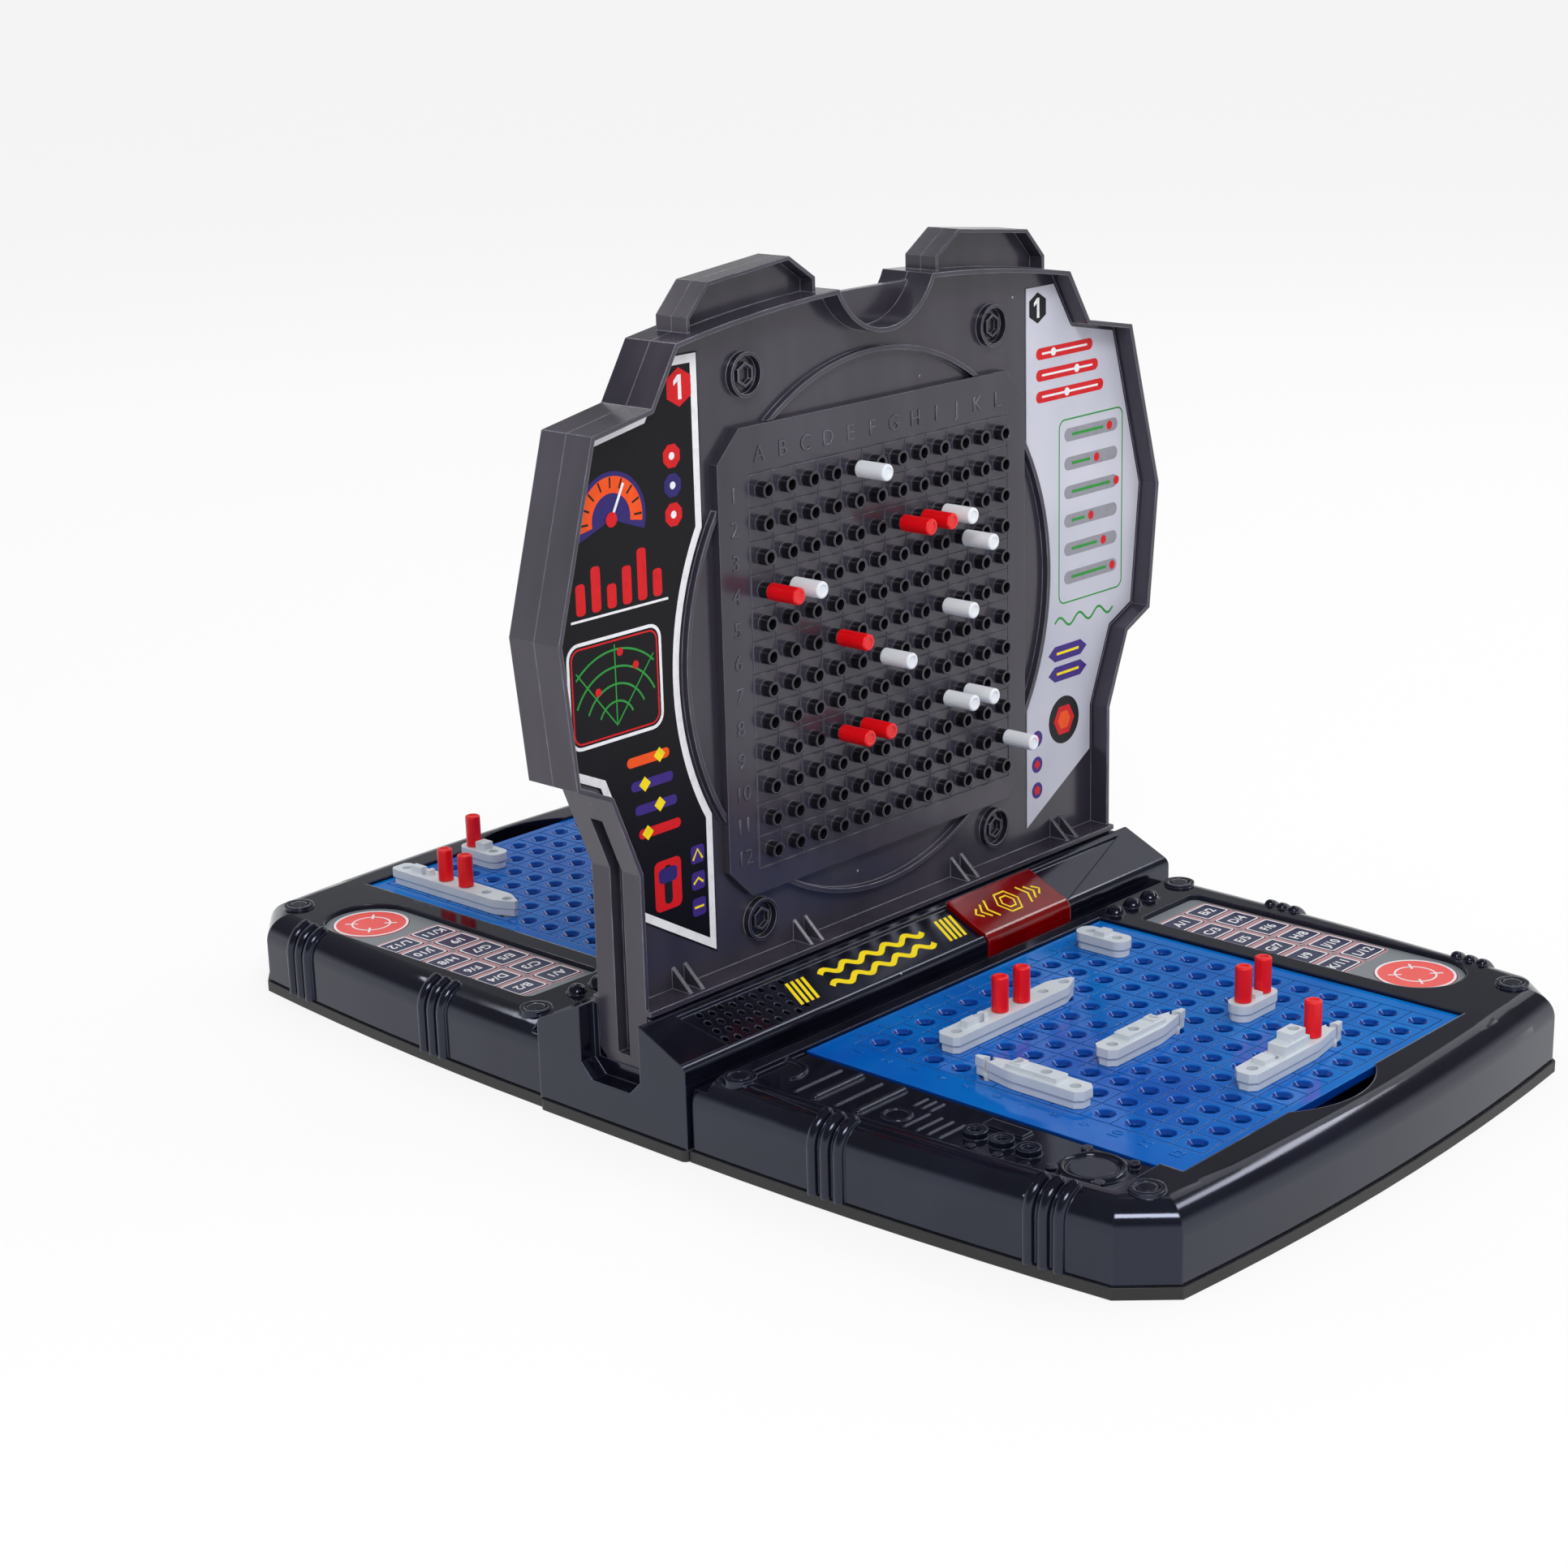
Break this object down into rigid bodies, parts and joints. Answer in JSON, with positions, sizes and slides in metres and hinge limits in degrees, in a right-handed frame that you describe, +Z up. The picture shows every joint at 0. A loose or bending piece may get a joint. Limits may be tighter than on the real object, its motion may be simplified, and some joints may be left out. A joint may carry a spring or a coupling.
{
  "type": "fleet guessing case",
  "caption": "Table-top fleet guessing case: an upright peg screen stands in a console between trays that hold clear sea plates, small ships, pegs and flat keypads.",
  "frame": {"origin": "middle of the case on the table, under the screen", "axes": "+X along the screen to the near player's right, +Y from the near player to the far player, +Z up"},
  "size_m": [0.278, 0.3884, 0.2488],
  "materials": {
    "case_black": "glossy moulded",
    "base_black": "satin moulded",
    "screen_smoke": "glossy moulded",
    "sea_blue": "clear tinted",
    "window_red": "clear tinted",
    "ship_grey": "satin moulded",
    "peg_red": "satin moulded",
    "peg_white": "satin moulded",
    "film_grey": "printed film",
    "key_navy": "printed film",
    "fire_red": "printed film",
    "sticker_print": "printed paper",
    "battery_jacket": "plain sleeve",
    "contact_steel": "plated",
    "board_green": "lacquered",
    "speaker_dark": "plain"
  },
  "bodies": {
    "case": {"console_cover": "case_black", "console_base": "base_black", "batteries": "battery_jacket", "metal_fittings": "contact_steel", "circuit_boards": "board_green", "speaker": "speaker_dark", "hit_windows": "window_red", "near_tray_shell": "case_black", "far_tray_shell": "case_black", "tray_bases": "base_black", "keypad_films": "film_grey"},
    "screen": {"screen_near_half": "screen_smoke", "screen_far_half": "screen_smoke", "peg_panels": "screen_smoke", "screen_stickers": "sticker_print"},
    "battery_door": {"battery_door": "base_black"},
    "power_switch": {"power_switch": "base_black"},
    "screen_white_pegs": {"screen_white_pegs": "peg_white"},
    "screen_red_pegs": {"screen_red_pegs": "peg_red"},
    "near_key_a1": {"near_key_a1": "key_navy"},
    "near_key_b2": {"near_key_b2": "key_navy"},
    "near_key_c3": {"near_key_c3": "key_navy"},
    "near_key_d4": {"near_key_d4": "key_navy"},
    "near_key_e5": {"near_key_e5": "key_navy"},
    "near_key_f6": {"near_key_f6": "key_navy"},
    "near_key_g7": {"near_key_g7": "key_navy"},
    "near_key_h8": {"near_key_h8": "key_navy"},
    "near_key_i9": {"near_key_i9": "key_navy"},
    "near_key_j10": {"near_key_j10": "key_navy"},
    "near_key_k11": {"near_key_k11": "key_navy"},
    "near_key_l12": {"near_key_l12": "key_navy"},
    "near_fire_button": {"near_fire_button": "fire_red"},
    "near_sea_plate": {"near_sea_plate": "sea_blue"},
    "far_key_a1": {"far_key_a1": "key_navy"},
    "far_key_b2": {"far_key_b2": "key_navy"},
    "far_key_c3": {"far_key_c3": "key_navy"},
    "far_key_d4": {"far_key_d4": "key_navy"},
    "far_key_e5": {"far_key_e5": "key_navy"},
    "far_key_f6": {"far_key_f6": "key_navy"},
    "far_key_g7": {"far_key_g7": "key_navy"},
    "far_key_h8": {"far_key_h8": "key_navy"},
    "far_key_i9": {"far_key_i9": "key_navy"},
    "far_key_j10": {"far_key_j10": "key_navy"},
    "far_key_k11": {"far_key_k11": "key_navy"},
    "far_key_l12": {"far_key_l12": "key_navy"},
    "far_fire_button": {"far_fire_button": "fire_red"},
    "far_sea_plate": {"far_sea_plate": "sea_blue"},
    "near_carrier": {"near_carrier": "ship_grey"},
    "near_carrier_pegs": {"near_carrier_pegs": "peg_red"},
    "near_cruiser_one": {"near_cruiser_one": "ship_grey"},
    "near_cruiser_two": {"near_cruiser_two": "ship_grey"},
    "near_destroyer": {"near_destroyer": "ship_grey"},
    "near_destroyer_peg": {"near_destroyer_peg": "peg_red"},
    "near_gunboat": {"near_gunboat": "ship_grey"},
    "near_gunboat_pegs": {"near_gunboat_pegs": "peg_red"},
    "near_patrol_boat": {"near_patrol_boat": "ship_grey"},
    "far_carrier": {"far_carrier": "ship_grey"},
    "far_carrier_pegs": {"far_carrier_pegs": "peg_red"},
    "far_submarine": {"far_submarine": "ship_grey"},
    "far_submarine_peg": {"far_submarine_peg": "peg_red"}
  },
  "joints": [
    {"name": "battery_door_slide", "type": "slide", "parent": "case", "child": "battery_door", "axis": [1, 0, 0], "range_m": [0, 0.01]},
    {"name": "power_switch_slide", "type": "slide", "parent": "case", "child": "power_switch", "axis": [1, 0, 0], "range_m": [0, 0.004]},
    {"name": "screen_lift", "type": "slide", "parent": "case", "child": "screen", "axis": [0, 0, 1], "range_m": [0, 0.06]},
    {"name": "screen_white_pegs_pull", "type": "slide", "parent": "screen", "child": "screen_white_pegs", "axis": [0, -1, 0], "range_m": [0, 0.018]},
    {"name": "screen_red_pegs_pull", "type": "slide", "parent": "screen", "child": "screen_red_pegs", "axis": [0, -1, 0], "range_m": [0, 0.018]},
    {"name": "near_key_a1_press", "type": "slide", "parent": "case", "child": "near_key_a1", "axis": [0, 0, -1], "range_m": [0, 0.0004], "stiffness_N_per_m": 300, "springref_m": -0.0002},
    {"name": "near_key_b2_press", "type": "slide", "parent": "case", "child": "near_key_b2", "axis": [0, 0, -1], "range_m": [0, 0.0004], "stiffness_N_per_m": 300, "springref_m": -0.0002},
    {"name": "near_key_c3_press", "type": "slide", "parent": "case", "child": "near_key_c3", "axis": [0, 0, -1], "range_m": [0, 0.0004], "stiffness_N_per_m": 300, "springref_m": -0.0002},
    {"name": "near_key_d4_press", "type": "slide", "parent": "case", "child": "near_key_d4", "axis": [0, 0, -1], "range_m": [0, 0.0004], "stiffness_N_per_m": 300, "springref_m": -0.0002},
    {"name": "near_key_e5_press", "type": "slide", "parent": "case", "child": "near_key_e5", "axis": [0, 0, -1], "range_m": [0, 0.0004], "stiffness_N_per_m": 300, "springref_m": -0.0002},
    {"name": "near_key_f6_press", "type": "slide", "parent": "case", "child": "near_key_f6", "axis": [0, 0, -1], "range_m": [0, 0.0004], "stiffness_N_per_m": 300, "springref_m": -0.0002},
    {"name": "near_key_g7_press", "type": "slide", "parent": "case", "child": "near_key_g7", "axis": [0, 0, -1], "range_m": [0, 0.0004], "stiffness_N_per_m": 300, "springref_m": -0.0002},
    {"name": "near_key_h8_press", "type": "slide", "parent": "case", "child": "near_key_h8", "axis": [0, 0, -1], "range_m": [0, 0.0004], "stiffness_N_per_m": 300, "springref_m": -0.0002},
    {"name": "near_key_i9_press", "type": "slide", "parent": "case", "child": "near_key_i9", "axis": [0, 0, -1], "range_m": [0, 0.0004], "stiffness_N_per_m": 300, "springref_m": -0.0002},
    {"name": "near_key_j10_press", "type": "slide", "parent": "case", "child": "near_key_j10", "axis": [0, 0, -1], "range_m": [0, 0.0004], "stiffness_N_per_m": 300, "springref_m": -0.0002},
    {"name": "near_key_k11_press", "type": "slide", "parent": "case", "child": "near_key_k11", "axis": [0, 0, -1], "range_m": [0, 0.0004], "stiffness_N_per_m": 300, "springref_m": -0.0002},
    {"name": "near_key_l12_press", "type": "slide", "parent": "case", "child": "near_key_l12", "axis": [0, 0, -1], "range_m": [0, 0.0004], "stiffness_N_per_m": 300, "springref_m": -0.0002},
    {"name": "near_fire_button_press", "type": "slide", "parent": "case", "child": "near_fire_button", "axis": [0, 0, -1], "range_m": [0, 0.0004], "stiffness_N_per_m": 300, "springref_m": -0.0002},
    {"name": "near_sea_plate_lift", "type": "slide", "parent": "case", "child": "near_sea_plate", "axis": [0, 0, 1], "range_m": [0, 0.03]},
    {"name": "far_key_a1_press", "type": "slide", "parent": "case", "child": "far_key_a1", "axis": [0, 0, -1], "range_m": [0, 0.0004], "stiffness_N_per_m": 300, "springref_m": -0.0002},
    {"name": "far_key_b2_press", "type": "slide", "parent": "case", "child": "far_key_b2", "axis": [0, 0, -1], "range_m": [0, 0.0004], "stiffness_N_per_m": 300, "springref_m": -0.0002},
    {"name": "far_key_c3_press", "type": "slide", "parent": "case", "child": "far_key_c3", "axis": [0, 0, -1], "range_m": [0, 0.0004], "stiffness_N_per_m": 300, "springref_m": -0.0002},
    {"name": "far_key_d4_press", "type": "slide", "parent": "case", "child": "far_key_d4", "axis": [0, 0, -1], "range_m": [0, 0.0004], "stiffness_N_per_m": 300, "springref_m": -0.0002},
    {"name": "far_key_e5_press", "type": "slide", "parent": "case", "child": "far_key_e5", "axis": [0, 0, -1], "range_m": [0, 0.0004], "stiffness_N_per_m": 300, "springref_m": -0.0002},
    {"name": "far_key_f6_press", "type": "slide", "parent": "case", "child": "far_key_f6", "axis": [0, 0, -1], "range_m": [0, 0.0004], "stiffness_N_per_m": 300, "springref_m": -0.0002},
    {"name": "far_key_g7_press", "type": "slide", "parent": "case", "child": "far_key_g7", "axis": [0, 0, -1], "range_m": [0, 0.0004], "stiffness_N_per_m": 300, "springref_m": -0.0002},
    {"name": "far_key_h8_press", "type": "slide", "parent": "case", "child": "far_key_h8", "axis": [0, 0, -1], "range_m": [0, 0.0004], "stiffness_N_per_m": 300, "springref_m": -0.0002},
    {"name": "far_key_i9_press", "type": "slide", "parent": "case", "child": "far_key_i9", "axis": [0, 0, -1], "range_m": [0, 0.0004], "stiffness_N_per_m": 300, "springref_m": -0.0002},
    {"name": "far_key_j10_press", "type": "slide", "parent": "case", "child": "far_key_j10", "axis": [0, 0, -1], "range_m": [0, 0.0004], "stiffness_N_per_m": 300, "springref_m": -0.0002},
    {"name": "far_key_k11_press", "type": "slide", "parent": "case", "child": "far_key_k11", "axis": [0, 0, -1], "range_m": [0, 0.0004], "stiffness_N_per_m": 300, "springref_m": -0.0002},
    {"name": "far_key_l12_press", "type": "slide", "parent": "case", "child": "far_key_l12", "axis": [0, 0, -1], "range_m": [0, 0.0004], "stiffness_N_per_m": 300, "springref_m": -0.0002},
    {"name": "far_fire_button_press", "type": "slide", "parent": "case", "child": "far_fire_button", "axis": [0, 0, -1], "range_m": [0, 0.0004], "stiffness_N_per_m": 300, "springref_m": -0.0002},
    {"name": "far_sea_plate_lift", "type": "slide", "parent": "case", "child": "far_sea_plate", "axis": [0, 0, 1], "range_m": [0, 0.03]},
    {"name": "near_carrier_lift", "type": "slide", "parent": "near_sea_plate", "child": "near_carrier", "axis": [0, 0, 1], "range_m": [0, 0.02]},
    {"name": "near_carrier_pegs_pull", "type": "slide", "parent": "near_carrier", "child": "near_carrier_pegs", "axis": [0, 0, 1], "range_m": [0, 0.012]},
    {"name": "near_cruiser_one_lift", "type": "slide", "parent": "near_sea_plate", "child": "near_cruiser_one", "axis": [0, 0, 1], "range_m": [0, 0.02]},
    {"name": "near_cruiser_two_lift", "type": "slide", "parent": "near_sea_plate", "child": "near_cruiser_two", "axis": [0, 0, 1], "range_m": [0, 0.02]},
    {"name": "near_destroyer_lift", "type": "slide", "parent": "near_sea_plate", "child": "near_destroyer", "axis": [0, 0, 1], "range_m": [0, 0.02]},
    {"name": "near_destroyer_peg_pull", "type": "slide", "parent": "near_destroyer", "child": "near_destroyer_peg", "axis": [0, 0, 1], "range_m": [0, 0.012]},
    {"name": "near_gunboat_lift", "type": "slide", "parent": "near_sea_plate", "child": "near_gunboat", "axis": [0, 0, 1], "range_m": [0, 0.02]},
    {"name": "near_gunboat_pegs_pull", "type": "slide", "parent": "near_gunboat", "child": "near_gunboat_pegs", "axis": [0, 0, 1], "range_m": [0, 0.012]},
    {"name": "near_patrol_boat_lift", "type": "slide", "parent": "near_sea_plate", "child": "near_patrol_boat", "axis": [0, 0, 1], "range_m": [0, 0.02]},
    {"name": "far_carrier_lift", "type": "slide", "parent": "far_sea_plate", "child": "far_carrier", "axis": [0, 0, 1], "range_m": [0, 0.02]},
    {"name": "far_carrier_pegs_pull", "type": "slide", "parent": "far_carrier", "child": "far_carrier_pegs", "axis": [0, 0, 1], "range_m": [0, 0.012]},
    {"name": "far_submarine_lift", "type": "slide", "parent": "far_sea_plate", "child": "far_submarine", "axis": [0, 0, 1], "range_m": [0, 0.02]},
    {"name": "far_submarine_peg_pull", "type": "slide", "parent": "far_submarine", "child": "far_submarine_peg", "axis": [0, 0, 1], "range_m": [0, 0.012]}
  ]
}
